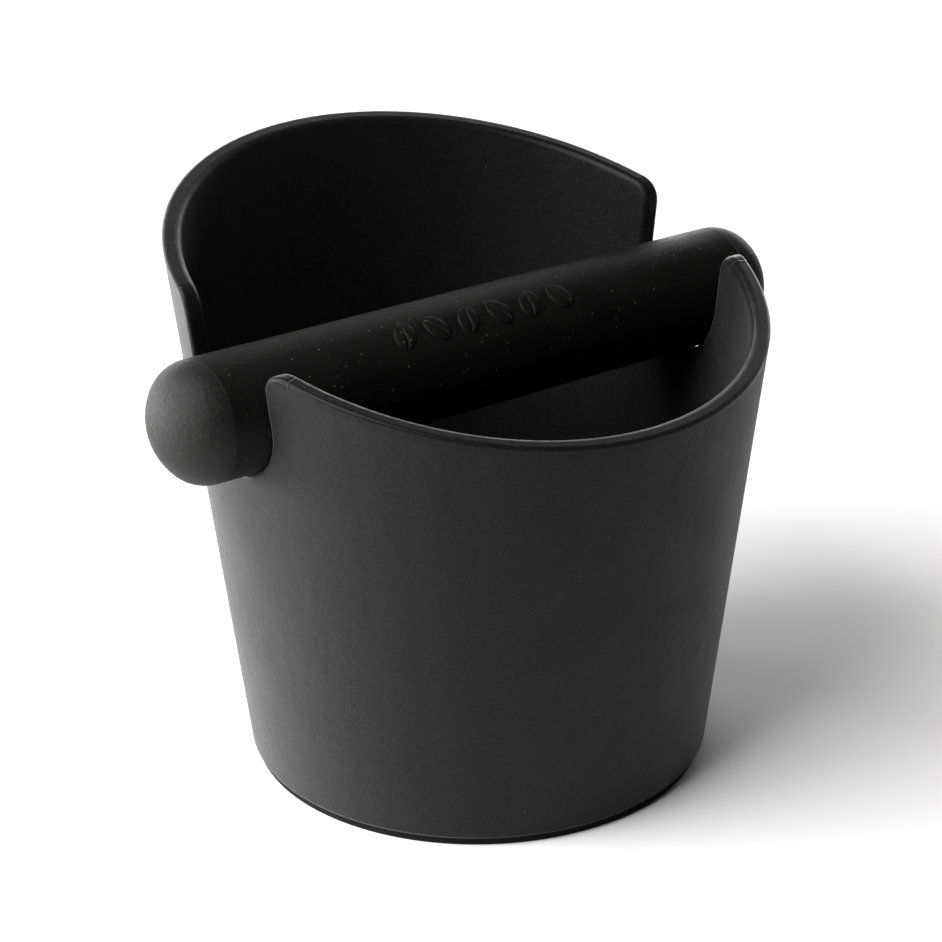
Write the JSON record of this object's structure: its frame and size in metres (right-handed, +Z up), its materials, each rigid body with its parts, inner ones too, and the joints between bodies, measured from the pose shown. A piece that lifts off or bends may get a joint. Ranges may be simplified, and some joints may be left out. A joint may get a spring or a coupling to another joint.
{
  "type": "espresso knock box",
  "caption": "Tapered round countertop tub with a slanted mouth and a padded bar across it, for knocking spent coffee out of a portafilter.",
  "frame": {"origin": "centre of the foot ring's underside, on the surface the box stands on", "axes": "+X along the bar, to the right seen from the low front; -Y to the low front of the mouth, +Y to the high back; +Z up the tub's axis"},
  "size_m": [0.1904, 0.1548, 0.1563],
  "materials": {
    "tub_plastic": "fine moulded satin grain, near black",
    "foot_rubber": "matte black",
    "core_steel": "plain drawn tube",
    "bar_rubber": "matte black, slightly mottled",
    "cap_rubber": "matte black, slightly mottled"
  },
  "bodies": {
    "tub": {"tub_body": "tub_plastic", "foot_ring": "foot_rubber"},
    "bar_lifted": {"bar_core": "core_steel"},
    "bar_grip": {"bar_sleeve": "bar_rubber", "left_end_cap": "cap_rubber", "right_end_cap": "cap_rubber"}
  },
  "joints": [
    {"name": "bar_lift", "type": "slide", "parent": "tub", "child": "bar_lifted", "axis": [0, 0, 1], "range_m": [0, 0.065]},
    {"name": "bar_turn", "type": "hinge", "parent": "bar_lifted", "child": "bar_grip", "pos_m": [0, -0.0005, 0.112], "axis": [1, 0, 0], "continuous": true}
  ]
}
